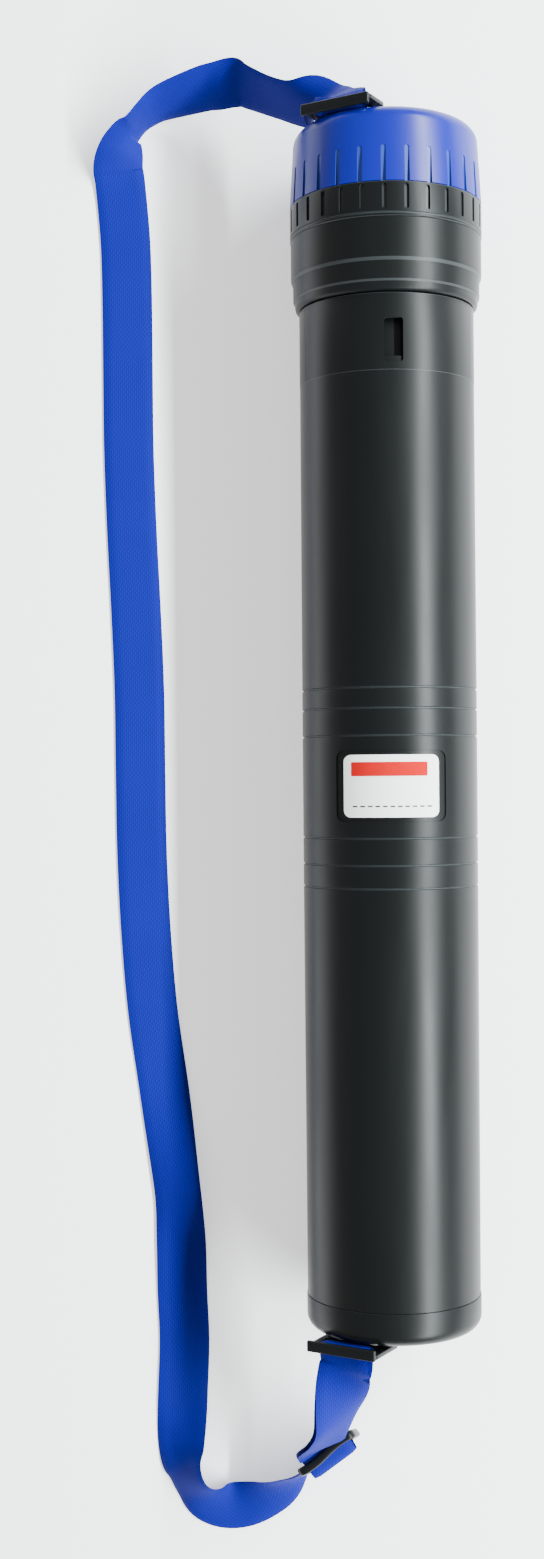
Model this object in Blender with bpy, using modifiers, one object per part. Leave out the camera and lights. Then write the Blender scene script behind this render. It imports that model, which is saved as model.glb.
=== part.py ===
"""Telescopic drawing tube lying on its side, with a webbing shoulder strap.

World axes: metres, +Z up, +Y along the tube from its base to its screw cap. The origin is the
centre of the base's flat end, on the tube's axis. The tube rests on a floor at Z = FLOOR_Z.
Turned pieces are drawn in a tube frame whose local Z is the station along the tube and whose
local -Y is the tube's top side, so a clock angle of 0 faces up and +90 faces +X.
"""
import math

import bmesh
import bpy
from mathutils import Matrix, Vector

SEGMENTS = 40
GAP = 0.0003

# Outer tube
TUBE_R = 0.050
BORE_R = 0.0474
SPIGOT_R = 0.0486
TUBE_START = 0.0195
TUBE_END = 0.5376
SPIGOT_END = 0.5456
GROOVE_DEPTH = 0.0006
GROOVE_HALF = 0.0007
GROOVES = (0.2526, 0.2654, 0.2804, 0.3374, 0.3525, 0.3639)
LABEL_CENTRE = 0.3094
LABEL_TURN = -2.2
RECESS_SIZE = (0.0604, 0.0396)
LABEL_SIZE = (0.0524, 0.0346)
RECESS_DEPTH = 0.0008

# Base cap, a cup whose spigot plugs the outer tube
BASE_FILLET = 0.008
BASE_FLOOR = 0.003
PLUG_R = 0.0471
PLUG_BORE_R = 0.0444
PLUG_END = 0.032

# Lock sleeve, which turns on the outer tube's spigot
SLEEVE_END = 0.5806
SLEEVE_COUNTERBORE_R = 0.0490
WINDOW_SIZE = (0.0104, 0.0242)
WINDOW_CENTRE = (0.0010, 0.5547)
LOCK_TOOTH_STATION = 0.5518
LOCK_TOOTH_WIDTH = 0.003
LOCK_TOOTH_INNER_R = 0.0454
LOCK_TOOTH_ANGLES = (182.0, 200.0)

# Inner tube with its rack of lock teeth
INNER_R = 0.0450
INNER_BORE_R = 0.0430
INNER_START = 0.034
INNER_END = 0.6310
RACK_TOP_R = 0.0469
RACK_PITCH = 0.020
RACK_COUNT = 25
RACK_FIRST = 0.0633
RACK_TOOTH_WIDTH = 0.004
RACK_ANGLES = (148.0, 168.0)
STOP_RING_R = 0.0471
STOP_RING_LENGTH = 0.010

# Head: stepped collar with a threaded neck, and the slotted grip ring round it
COLLAR_START = 0.5812
COLLAR_LIP_R = 0.0523
COLLAR_R = 0.0534
COLLAR_TOP_R = 0.0546
RING_START = 0.6208
RING_R = 0.0549
RING_BORE_R = 0.0493
RING_SLOTS = 28
RING_SLOT_PHASE = -4.0
NECK_R = 0.0485
NECK_END = 0.6785
NECK_BORE_R = 0.0430

# Screw cap and its thread
CAP_START = 0.6405
CAP_TOP = 0.6840
CAP_R = 0.0549
CAP_TOP_R = 0.0529
CAP_FILLET = 0.009
CAP_BORE_R = 0.0505
CAP_ROOF = 0.0028
CAP_SLOTS = 26
CAP_SLOT_PHASE = -4.5
THREAD_LEAD = 0.024
THREAD_STARTS = 3
THREAD_WIDTH = 0.0024
NECK_THREAD_TOP_R = 0.0500
CAP_THREAD_TOP_R = 0.0490
SEAL_R = 0.0497
SEAL_BORE_R = 0.0442

# Strap, its loops and its slider
FLOOR_Z = -0.0549
STRAP_WIDTH = 0.030
STRAP_THICKNESS = 0.0016
LOOP_TILT = math.radians(30.0)
LOOP_GAP = 0.0022
LOOP_THICKNESS = 0.0028
LOOP_HALF_LENGTH = 0.022
LOOP_BAR_HALF = 0.00225
LOOP_SLOT = (0.034, 0.0055)
# A guard bar runs outside the webbing that wraps the loop's own bar.
LOOP_GUARD_LOW = 0.0050
LOOP_GUARD_HIGH = 0.0076
BASE_BAR = (-0.029, 0.036)
CAP_BAR = (-0.027, 0.036)
PIN_R = 0.0030
SLIDER_CENTRE = (-0.0371, -0.0812, -0.0200)
SLIDER_ACROSS = (0.81, 0.59, 0.0)
SLIDER_SIZE = (0.040, 0.024, 0.003)
SLIDER_SLOT = (0.033, 0.0060)
SLIDER_SLOT_OFFSET = 0.0052

# Strap route from the slider to the cap's loop: centre of the band, then the way across it.
STRAP_ROUTE = (
    ((-0.0505, -0.0995, -0.0400), (-0.15, 0.10, 0.97)),
    ((-0.0605, -0.1052, -0.0400), (-0.25, 0.55, 0.80)),
    ((-0.0737, -0.1158, -0.0465), (-0.35, 0.85, 0.45)),
    ((-0.0907, -0.1225, -0.0515), (-0.10, 0.97, 0.15)),
    ((-0.1050, -0.1215, -0.0500), (0.25, 0.90, 0.30)),
    ((-0.1168, -0.1127, -0.0450), (0.45, 0.55, 0.65)),
    ((-0.1232, -0.1010, -0.0440), (0.65, 0.35, 0.65)),
    ((-0.1255, -0.0870, -0.0490), (0.90, 0.10, 0.35)),
    ((-0.1247, -0.0604, -0.0537), (1.00, 0.00, 0.00)),
    ((-0.1233, -0.0243, -0.0537), (1.00, 0.00, 0.00)),
    ((-0.1243, 0.0058, -0.0537), (1.00, 0.00, 0.00)),
    ((-0.1246, 0.0331, -0.0520), (1.00, 0.00, 0.08)),
    ((-0.1256, 0.0578, -0.0490), (0.95, 0.00, 0.28)),
    ((-0.1280, 0.0800, -0.0490), (0.95, 0.10, 0.28)),
    ((-0.1341, 0.1264, -0.0532), (1.00, 0.14, 0.04)),
    ((-0.1407, 0.1746, -0.0537), (1.00, 0.12, 0.00)),
    ((-0.1445, 0.2228, -0.0537), (1.00, 0.06, 0.00)),
    ((-0.1465, 0.2710, -0.0537), (1.00, 0.03, 0.00)),
    ((-0.1470, 0.3192, -0.0537), (1.00, 0.01, 0.00)),
    ((-0.1473, 0.3674, -0.0537), (1.00, 0.02, 0.00)),
    ((-0.1489, 0.4156, -0.0537), (1.00, 0.05, 0.00)),
    ((-0.1510, 0.4639, -0.0537), (1.00, 0.03, 0.00)),
    ((-0.1524, 0.5121, -0.0537), (1.00, 0.01, 0.00)),
    ((-0.1526, 0.5580, -0.0537), (1.00, 0.00, 0.00)),
    ((-0.1527, 0.6025, -0.0537), (1.00, 0.00, 0.00)),
    ((-0.1532, 0.6386, -0.0535), (1.00, 0.02, 0.00)),
    ((-0.1556, 0.6640, -0.0512), (0.98, 0.10, -0.15)),
    ((-0.1572, 0.6800, -0.0450), (0.85, 0.20, -0.50)),
    ((-0.1556, 0.6915, -0.0405), (0.50, 0.25, -0.82)),
    ((-0.1508, 0.7003, -0.0395), (0.28, 0.15, -0.94)),
    ((-0.1443, 0.7085, -0.0392), (0.15, 0.20, -0.95)),
    ((-0.1360, 0.7136, -0.0370), (0.12, 0.38, -0.90)),
    ((-0.1248, 0.7166, -0.0320), (0.08, 0.60, -0.79)),
    ((-0.1068, 0.7180, -0.0240), (0.02, 0.78, -0.62)),
    ((-0.0860, 0.7155, -0.0150), (0.00, 0.86, -0.51)),
    ((-0.0703, 0.7095, -0.0080), (0.05, 0.72, -0.68)),
    ((-0.0554, 0.7025, 0.0000), (0.15, 0.62, -0.72)),
    ((-0.0430, 0.6975, 0.0105), (0.40, 0.45, -0.60)),
    ((-0.0345, 0.6960, 0.0230), (0.75, 0.20, -0.20)),
    ((-0.0305, 0.6950, 0.0325), (0.87, 0.05, 0.35)),
)
STRAP_SPLIT = 26
STRAP_STEPS = 3
STRAP_JOIN_GAP = 0.0030


def clear_scene():
    for item in list(bpy.data.objects):
        bpy.data.objects.remove(item, do_unlink=True)


def make_collection(name):
    collection = bpy.data.collections.new(name)
    bpy.context.scene.collection.children.link(collection)
    return collection


def make_material(name, colour, roughness, metallic=0.0):
    material = bpy.data.materials.new(name)
    material.use_nodes = True
    shader = material.node_tree.nodes["Principled BSDF"]
    shader.inputs["Base Color"].default_value = (*colour, 1.0)
    shader.inputs["Roughness"].default_value = roughness
    shader.inputs["Metallic"].default_value = metallic
    return material


def make_axis(name, location=(0.0, 0.0, 0.0), parent=None):
    """An empty on the tube's axis, with its local Z along the tube."""
    empty = bpy.data.objects.new(name, None)
    empty.empty_display_size = 0.05
    PARTS.objects.link(empty)
    if parent is None:
        empty.rotation_euler = (-math.pi / 2, 0.0, 0.0)
    empty.parent = parent
    empty.location = location
    return empty


def add_object(name, mesh, material, parent=None, smooth=True):
    piece = bpy.data.objects.new(name, mesh)
    mesh.materials.append(material)
    if smooth:
        mesh.shade_smooth()
        mesh.set_sharp_from_angle(angle=math.radians(30.0))
    PARTS.objects.link(piece)
    piece.parent = parent
    return piece


def add_cutter(name, mesh, parent=None):
    cutter = bpy.data.objects.new(name, mesh)
    cutter.hide_render = True
    cutter.display_type = "WIRE"
    CUTTERS.objects.link(cutter)
    cutter.parent = parent
    return cutter


def add_boolean(piece, cutter, operation="DIFFERENCE"):
    modifier = piece.modifiers.new(cutter.name, "BOOLEAN")
    modifier.operation = operation
    modifier.object = cutter


def mesh_from(build, name):
    """Run build on a new bmesh and return the mesh that it makes, with its faces pointing out."""
    shape = bmesh.new()
    build(shape)
    bmesh.ops.recalc_face_normals(shape, faces=shape.faces)
    mesh = bpy.data.meshes.new(name)
    shape.to_mesh(mesh)
    shape.free()
    return mesh


def turned(name, profile, material, parent, closed=True):
    """Turn a profile of (radius, station) points, listed down its outer side first."""
    mesh = bpy.data.meshes.new(name)
    edges = [(i, i + 1) for i in range(len(profile) - 1)]
    if closed:
        edges.append((len(profile) - 1, 0))
    mesh.from_pydata([(radius, 0.0, station) for radius, station in profile], edges, [])
    piece = add_object(name, mesh, material, parent, smooth=False)
    screw = piece.modifiers.new("turn", "SCREW")
    screw.axis = "Z"
    screw.steps = SEGMENTS
    screw.render_steps = SEGMENTS
    screw.use_merge_vertices = True
    screw.merge_threshold = 0.00001
    screw.use_smooth_shade = True
    return piece


def fillet(radius, centre_radius, centre_station, start_deg, end_deg, steps=4):
    """Points of a round edge, as (radius, station), with 0 degrees pointing outward."""
    points = []
    for i in range(steps + 1):
        angle = math.radians(start_deg + (end_deg - start_deg) * i / steps)
        points.append((centre_radius + radius * math.cos(angle),
                       centre_station + radius * math.sin(angle)))
    return points


def clock(radius, degrees, station):
    """A point of the tube frame from a radius, a clock angle and a station."""
    angle = math.radians(degrees)
    return Vector((radius * math.sin(angle), -radius * math.cos(angle), station))


def loft(shape, sections):
    """Join rings of corners into one closed body with flat ends."""
    rings = [[shape.verts.new(corner) for corner in section] for section in sections]
    count = len(rings[0])
    for ring, following in zip(rings, rings[1:]):
        for i in range(count):
            j = (i + 1) % count
            shape.faces.new((ring[i], ring[j], following[j], following[i]))
    shape.faces.new(rings[0][::-1])
    shape.faces.new(rings[-1])


def arc_plate(shape, radii, degrees, stations, steps):
    """A curved plate between two radii, two clock angles and two stations."""
    sections = []
    for i in range(steps + 1):
        angle = degrees[0] + (degrees[1] - degrees[0]) * i / steps
        sections.append([clock(radii[0], angle, stations[0]), clock(radii[1], angle, stations[0]),
                         clock(radii[1], angle, stations[1]), clock(radii[0], angle, stations[1])])
    loft(shape, sections)


def box(shape, size, matrix):
    bmesh.ops.create_cube(shape, size=1.0, matrix=matrix @ Matrix.Diagonal((*size, 1.0)))


def slot_ring(shape, count, phase, radius, size, station):
    """Boxes set round the tube: size is radial depth, width and length along the tube."""
    for i in range(count):
        degrees = phase + 360.0 * i / count
        turn = Matrix.Rotation(math.radians(degrees - 90.0), 4, "Z")
        box(shape, size, turn @ Matrix.Translation((radius, 0.0, station)))


def thread_ribs(shape, root_r, top_r, base_station, sweep_degrees, phase):
    """Right-hand helical ribs, one for each start, with narrower tops than roots."""
    steps = round(sweep_degrees / (360.0 / SEGMENTS))
    for start in range(THREAD_STARTS):
        first = phase + 360.0 * start / THREAD_STARTS
        sections = []
        for i in range(steps + 1):
            turned_by = 360.0 / SEGMENTS * i
            station = base_station + THREAD_LEAD * turned_by / 360.0
            sections.append([
                clock(root_r, first + turned_by, station - THREAD_WIDTH / 2),
                clock(top_r, first + turned_by, station - THREAD_WIDTH / 4),
                clock(top_r, first + turned_by, station + THREAD_WIDTH / 4),
                clock(root_r, first + turned_by, station + THREAD_WIDTH / 2)])
        loft(shape, sections)


def smooth_route(route, steps):
    """Points between the route's own, on a Catmull-Rom curve through them."""
    result = []
    for i in range(len(route) - 1):
        a = route[max(i - 1, 0)]
        b = route[i]
        c = route[i + 1]
        d = route[min(i + 2, len(route) - 1)]
        for step in range(steps):
            t = step / steps
            result.append(0.5 * (2 * b + (c - a) * t + (2 * a - 5 * b + 4 * c - d) * t ** 2
                                 + (3 * b - a - 3 * c + d) * t ** 3))
    result.append(route[-1].copy())
    return result


def band_sections(centres, ways):
    """Corners of the band at each centre, square to the way it runs."""
    sections = []
    for i, centre in enumerate(centres):
        along = (centres[min(i + 1, len(centres) - 1)] - centres[max(i - 1, 0)]).normalized()
        across = (ways[i] - along * ways[i].dot(along)).normalized()
        out = along.cross(across)
        half_width = across * STRAP_WIDTH / 2
        half_thick = out * STRAP_THICKNESS / 2
        sections.append([centre - half_width - half_thick, centre + half_width - half_thick,
                         centre + half_width + half_thick, centre - half_width + half_thick])
    return sections


def loop_frame(bar, station):
    """Frame of a strap loop: X along its bar, Y from the bar outwards, Z along the tube."""
    along = Vector((math.cos(LOOP_TILT), 0.0, math.sin(LOOP_TILT)))
    outward = Vector((-math.sin(LOOP_TILT), 0.0, math.cos(LOOP_TILT)))
    ahead = along.cross(outward)
    frame = Matrix((along, outward, ahead)).transposed().to_4x4()
    frame.translation = Vector((bar[0], station, bar[1]))
    return frame


def rounded_outline(half_x, low_y, high_y, corner, steps=3):
    """A rectangle's outline with round corners, counterclockwise."""
    centres = ((half_x - corner, high_y - corner, 0.0), (-half_x + corner, high_y - corner, 90.0),
               (-half_x + corner, low_y + corner, 180.0), (half_x - corner, low_y + corner, 270.0))
    points = []
    for x, y, first in centres:
        for i in range(steps + 1):
            angle = math.radians(first + 90.0 * i / steps)
            points.append((x + corner * math.cos(angle), y + corner * math.sin(angle)))
    return points


def prism(shape, outline, low, high, frame):
    loft(shape, [[frame @ Vector((x, y, low)) for x, y in outline],
                 [frame @ Vector((x, y, high)) for x, y in outline]])


def disc(shape, radius, low, high, frame, sides=24):
    outline = [(radius * math.cos(2 * math.pi * i / sides), radius * math.sin(2 * math.pi * i / sides))
               for i in range(sides)]
    prism(shape, outline, low, high, frame)


def make_outer_tube():
    outer = [(BORE_R, SPIGOT_END), (SPIGOT_R, SPIGOT_END), (SPIGOT_R, TUBE_END), (TUBE_R, TUBE_END)]
    for groove in reversed(GROOVES):
        outer += [(TUBE_R, groove + GROOVE_HALF), (TUBE_R - GROOVE_DEPTH, groove),
                  (TUBE_R, groove - GROOVE_HALF)]
    outer += [(TUBE_R, TUBE_START), (BORE_R, TUBE_START)]
    tube = turned("outer_tube", outer, BLACK, TUBE_AXIS)
    half_angle = math.degrees(math.asin(RECESS_SIZE[0] / 2 / TUBE_R))
    angles = (LABEL_TURN - half_angle, LABEL_TURN + half_angle)
    stations = (LABEL_CENTRE - RECESS_SIZE[1] / 2, LABEL_CENTRE + RECESS_SIZE[1] / 2)
    recess = mesh_from(lambda shape: arc_plate(
        shape, (TUBE_R - RECESS_DEPTH, TUBE_R + 0.002), angles, stations, 12),
        "label_recess_cutter")
    add_boolean(tube, add_cutter("label_recess_cutter", recess, TUBE_AXIS))


def make_label():
    half_angle = math.degrees(math.asin(LABEL_SIZE[0] / 2 / TUBE_R))
    angles = (LABEL_TURN - half_angle, LABEL_TURN + half_angle)
    stations = (LABEL_CENTRE - LABEL_SIZE[1] / 2, LABEL_CENTRE + LABEL_SIZE[1] / 2)
    low = TUBE_R - RECESS_DEPTH + GAP
    card = mesh_from(lambda shape: arc_plate(
        shape, (low, low + 0.0004), angles, stations, 12), "label_card")
    add_object("label_card", card, WHITE, TUBE_AXIS)


def make_base_cap():
    edge = fillet(BASE_FILLET, TUBE_R - BASE_FILLET, BASE_FILLET, 0.0, -90.0)
    profile = [(PLUG_BORE_R, PLUG_END), (PLUG_R, PLUG_END), (PLUG_R, TUBE_START - GAP),
               (TUBE_R, TUBE_START - GAP)]
    profile += edge + [(0.0, 0.0)]
    inside = [(0.0, BASE_FLOOR), (PLUG_BORE_R - 0.004, BASE_FLOOR), (PLUG_BORE_R, BASE_FLOOR + 0.004)]
    turned("base_cap", inside + profile, BLACK, TUBE_AXIS, closed=False)


def make_lock_sleeve():
    profile = [(BORE_R, SLEEVE_END), (TUBE_R, SLEEVE_END), (TUBE_R, TUBE_END + GAP),
               (SLEEVE_COUNTERBORE_R, TUBE_END + GAP), (SLEEVE_COUNTERBORE_R, SPIGOT_END + GAP),
               (BORE_R, SPIGOT_END + GAP)]
    sleeve = turned("lock_sleeve", profile, BLACK, SLEEVE_AXIS)
    stations = (LOCK_TOOTH_STATION, LOCK_TOOTH_STATION + LOCK_TOOTH_WIDTH)
    tooth = mesh_from(lambda shape: arc_plate(
        shape, (LOCK_TOOTH_INNER_R, BORE_R + 0.0006), LOCK_TOOTH_ANGLES, stations, 2), "lock_tooth")
    add_boolean(sleeve, add_cutter("lock_tooth", tooth, SLEEVE_AXIS), "UNION")
    place = Matrix.Translation((WINDOW_CENTRE[0], -TUBE_R, WINDOW_CENTRE[1]))
    window = mesh_from(lambda shape: box(shape, (WINDOW_SIZE[0], 0.010, WINDOW_SIZE[1]), place),
                       "window_cutter")
    add_boolean(sleeve, add_cutter("window_cutter", window, SLEEVE_AXIS))


def make_inner_tube():
    profile = [(INNER_BORE_R, INNER_END), (INNER_R, INNER_END), (INNER_R, INNER_START),
               (INNER_BORE_R, INNER_START)]
    tube = turned("inner_tube", profile, BLACK, INNER_AXIS)

    def rack(shape):
        for i in range(RACK_COUNT + 1):
            middle = RACK_FIRST + RACK_PITCH * i
            stations = (middle - RACK_TOOTH_WIDTH / 2, middle + RACK_TOOTH_WIDTH / 2)
            arc_plate(shape, (INNER_R - 0.0006, RACK_TOP_R), RACK_ANGLES, stations, 2)

    add_boolean(tube, add_cutter("rack_teeth", mesh_from(rack, "rack_teeth"), INNER_AXIS), "UNION")
    start = INNER_START + 0.001
    turned("stop_ring", [(INNER_R + GAP, start + STOP_RING_LENGTH),
                         (STOP_RING_R, start + STOP_RING_LENGTH), (STOP_RING_R, start),
                         (INNER_R + GAP, start)], GREY, INNER_AXIS)


def make_head_collar():
    shoulder = INNER_END + GAP
    lip = fillet(0.003, COLLAR_LIP_R - 0.003, COLLAR_START + 0.003, 0.0, -90.0, 3)
    profile = [(NECK_BORE_R, NECK_END), (NECK_R, NECK_END), (NECK_R, RING_START),
               (COLLAR_TOP_R, RING_START), (COLLAR_TOP_R, 0.5985), (COLLAR_R, 0.5965),
               (COLLAR_R, 0.5872), (COLLAR_LIP_R, 0.5860)]
    profile += lip + [(INNER_R + GAP, COLLAR_START), (INNER_R + GAP, shoulder),
                      (NECK_BORE_R, shoulder)]
    collar = turned("head_collar", profile, BLACK, INNER_AXIS)
    ribs = mesh_from(lambda shape: thread_ribs(
        shape, NECK_R - 0.0006, NECK_THREAD_TOP_R, 0.6480, 216.0, 0.0), "neck_thread")
    add_boolean(collar, add_cutter("neck_thread", ribs, INNER_AXIS), "UNION")


def make_grip_ring():
    profile = [(RING_BORE_R, CAP_START - GAP), (RING_R, CAP_START - GAP), (RING_R, RING_START + GAP),
               (RING_BORE_R, RING_START + GAP)]
    ring = turned("grip_ring", profile, BLACK, INNER_AXIS)
    slots = mesh_from(lambda shape: slot_ring(
        shape, RING_SLOTS, RING_SLOT_PHASE, RING_R, (0.0024, 0.0026, 0.0135), 0.6300),
        "ring_slot_cutters")
    add_boolean(ring, add_cutter("ring_slot_cutters", slots, INNER_AXIS))


def make_cap():
    flat_r = CAP_TOP_R - CAP_FILLET
    top_edge = fillet(CAP_FILLET, flat_r, CAP_TOP - CAP_FILLET, 90.0, 0.0, 5)
    roof = CAP_TOP - CAP_ROOF
    inner_r = CAP_TOP_R - CAP_FILLET
    profile = [(PIN_R + GAP, CAP_TOP)] + top_edge + [(CAP_R, CAP_START), (CAP_BORE_R, CAP_START)]
    profile += [(CAP_BORE_R, roof - 0.0065), (inner_r + 0.004, roof), (PIN_R + GAP, roof)]
    cap = turned("cap", profile, BLUE, CAP_AXIS)
    ribs = mesh_from(lambda shape: thread_ribs(
        shape, CAP_BORE_R + 0.0006, CAP_THREAD_TOP_R, 0.6455, 135.0, 0.0), "cap_thread")
    add_boolean(cap, add_cutter("cap_thread", ribs, CAP_AXIS), "UNION")
    slots = mesh_from(lambda shape: slot_ring(
        shape, CAP_SLOTS, CAP_SLOT_PHASE, CAP_R, (0.0024, 0.0026, 0.0200), CAP_START + 0.0099),
        "cap_slot_cutters")
    add_boolean(cap, add_cutter("cap_slot_cutters", slots, CAP_AXIS))
    turned("cap_seal", [(SEAL_BORE_R, NECK_END + 0.0018), (SEAL_R - 0.003, NECK_END + 0.0018),
                        (SEAL_R - 0.003, NECK_END + GAP), (SEAL_BORE_R, NECK_END + GAP)],
           RUBBER, CAP_AXIS)


def loop_cutter(name, frame):
    """The strap slots on both sides of a loop's bar."""
    def slots(shape):
        for low, high in ((-LOOP_BAR_HALF - LOOP_SLOT[1], -LOOP_BAR_HALF), (LOOP_BAR_HALF, LOOP_GUARD_LOW)):
            middle = frame @ Matrix.Translation((0.0, (low + high) / 2, 0.0))
            box(shape, (LOOP_SLOT[0], high - low, 0.02), middle)
    return add_cutter(name, mesh_from(slots, name))


def make_base_loop():
    """A footman loop: a foot on the base's end and a bar that stands off it for the webbing."""
    frame = loop_frame(BASE_BAR, 0.0)
    # The frame's Z points to -Y, away from the base.
    top = LOOP_GAP + LOOP_THICKNESS
    plate_outline = rounded_outline(LOOP_HALF_LENGTH, -0.022, LOOP_GUARD_HIGH, 0.003)
    plate = mesh_from(lambda shape: prism(shape, plate_outline, LOOP_GAP, top, frame), "base_loop")
    loop = add_object("base_loop", plate, BLACK, smooth=False)
    foot_outline = rounded_outline(0.0185, -0.0215, -0.0105, 0.003)
    foot = mesh_from(lambda shape: prism(shape, foot_outline, GAP, LOOP_GAP + 0.001, frame),
                     "base_loop_foot")
    add_boolean(loop, add_cutter("base_loop_foot", foot), "UNION")
    add_boolean(loop, loop_cutter("base_loop_slot", frame))
    for side, name in ((-1.0, "base_rivet_left"), (1.0, "base_rivet_right")):
        centre = frame @ Matrix.Translation((side * 0.012, -0.016, 0.0))
        rivet = mesh_from(lambda shape: disc(shape, 0.0032, top + GAP, top + 0.0015, centre, 16), name)
        add_object(name, rivet, STEEL, smooth=False)


def make_cap_loop():
    """The cap's strap arm, its washer and the pin that it swivels on."""
    frame = loop_frame(CAP_BAR, CAP_TOP)
    frame = frame @ Matrix.Diagonal((-1.0, 1.0, -1.0, 1.0))
    top = LOOP_GAP + LOOP_THICKNESS
    centre_low = frame.inverted() @ Vector((0.0, CAP_TOP, 0.0))
    head_outline = rounded_outline(LOOP_HALF_LENGTH, -0.0125, LOOP_GUARD_HIGH, 0.003)
    head = mesh_from(lambda shape: prism(shape, head_outline, LOOP_GAP, top, frame), "cap_loop")
    arm_piece = add_object("cap_loop", head, BLACK, smooth=False)
    arm_dir = Vector((centre_low.x, centre_low.y + 0.010, 0.0))
    length = arm_dir.length
    turn = Matrix.Rotation(math.atan2(arm_dir.y, arm_dir.x) + math.pi / 2, 4, "Z")
    arm_frame = frame @ Matrix.Translation((0.0, -0.010, 0.0)) @ turn
    arm_outline = rounded_outline(0.008, -length - 0.008, 0.001, 0.0079, 4)
    arm = mesh_from(lambda shape: prism(shape, arm_outline, LOOP_GAP, top, arm_frame), "cap_loop_arm")
    add_boolean(arm_piece, add_cutter("cap_loop_arm", arm), "UNION")
    add_boolean(arm_piece, loop_cutter("cap_loop_slot", frame))
    hole_frame = frame @ Matrix.Translation(centre_low)
    hole = mesh_from(lambda shape: disc(shape, PIN_R + GAP, -0.02, 0.02, hole_frame), "arm_hole")
    add_boolean(arm_piece, add_cutter("arm_hole", hole))
    start = CAP_TOP + GAP
    turned("swivel_washer", [(PIN_R + GAP, CAP_TOP + LOOP_GAP - GAP), (0.0075, CAP_TOP + LOOP_GAP - GAP),
                             (0.0075, start), (PIN_R + GAP, start)], GREY, LIFT_AXIS)
    high = CAP_TOP + top + GAP
    roof = CAP_TOP - CAP_ROOF - GAP
    turned("swivel_pin", [(0.0, high + 0.0016), (0.0045, high + 0.0016), (0.0055, high + 0.0006),
                          (0.0055, high), (PIN_R, high), (PIN_R, roof), (0.0050, roof),
                          (0.0050, roof - 0.0012), (0.0, roof - 0.0012)], STEEL, LIFT_AXIS,
           closed=False)


def make_slider():
    across = Vector(SLIDER_ACROSS).normalized()
    down = Vector((0.0, 0.0, -1.0))
    ahead = across.cross(down)
    frame = Matrix((across, down, ahead)).transposed().to_4x4()
    frame.translation = Vector(SLIDER_CENTRE)
    outline = rounded_outline(SLIDER_SIZE[0] / 2, -SLIDER_SIZE[1] / 2, SLIDER_SIZE[1] / 2, 0.003)
    half = SLIDER_SIZE[2] / 2
    plate = mesh_from(lambda shape: prism(shape, outline, -half, half, frame), "slider")
    slider = add_object("slider", plate, BLACK, smooth=False)

    def slots(shape):
        for side in (-1.0, 1.0):
            place = frame @ Matrix.Translation((0.0, side * SLIDER_SLOT_OFFSET, 0.0))
            box(shape, (SLIDER_SLOT[0], SLIDER_SLOT[1], 0.02), place)

    add_boolean(slider, add_cutter("slider_slots", mesh_from(slots, "slider_slots")))


def band(name, route):
    centres = smooth_route([Vector(centre) for centre, way in route], STRAP_STEPS)
    ways = smooth_route([Vector(way) for centre, way in route], STRAP_STEPS)
    sections = band_sections(centres, ways)
    add_object(name, mesh_from(lambda shape: loft(shape, sections), name), WEBBING, smooth=False)


def make_straps():
    route = list(STRAP_ROUTE)
    band("strap_main", route[:STRAP_SPLIT])
    first_centre, first_way = route[STRAP_SPLIT - 1]
    step = (Vector(route[STRAP_SPLIT][0]) - Vector(first_centre)).normalized() * STRAP_JOIN_GAP
    upper = [(tuple(Vector(first_centre) + step), first_way)] + route[STRAP_SPLIT:]
    band("strap_upper", upper)
    bar_along = Vector((math.cos(LOOP_TILT), 0.0, math.sin(LOOP_TILT)))
    outward = Vector((-math.sin(LOOP_TILT), 0.0, math.cos(LOOP_TILT)))
    # The band's loop round the cap's bar, from its free end to where the upper band begins.
    bar = Vector((CAP_BAR[0], CAP_TOP + LOOP_GAP + LOOP_THICKNESS / 2, CAP_BAR[1]))
    band("strap_cap_loop", wrap_route(bar, outward, Vector((0.0, 1.0, 0.0)), bar_along, 0.0024))
    bar = Vector((BASE_BAR[0], -LOOP_GAP - LOOP_THICKNESS / 2, BASE_BAR[1]))
    lower = wrap_route(bar, outward, Vector((0.0, -1.0, 0.0)), bar_along, 0.0044)
    band("strap_base_loop", lower)
    band("strap_lower", LOWER_ROUTE)


def wrap_route(bar, outward, away, along, leg):
    """A U round a loop's bar, its two legs running away from the bar side by side."""
    side = LOOP_BAR_HALF + 0.0004 + STRAP_THICKNESS / 2
    under = LOOP_THICKNESS / 2 + 0.0001 + STRAP_THICKNESS / 2
    flat = [(-side, leg), (-side, -0.0008), (-side * 0.85, -under), (0.0, -under),
            (side * 0.85, -under), (side, -0.0008), (side, leg)]
    return [(tuple(bar + outward * out + away * far), tuple(along)) for out, far in flat]


# Doubled webbing between the base's loop and the slider, drawn as one thick band.
LOWER_ROUTE = (
    ((-0.0294, -0.0092, 0.0358), (0.87, 0.00, 0.50)),
    ((-0.0299, -0.0200, 0.0350), (0.88, 0.05, 0.45)),
    ((-0.0313, -0.0360, 0.0305), (0.88, 0.15, 0.35)),
    ((-0.0330, -0.0530, 0.0215), (0.87, 0.30, 0.22)),
    ((-0.0350, -0.0680, 0.0095), (0.84, 0.45, 0.10)),
    ((-0.0361, -0.0750, 0.0015), (0.83, 0.50, 0.05)),
)

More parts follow.
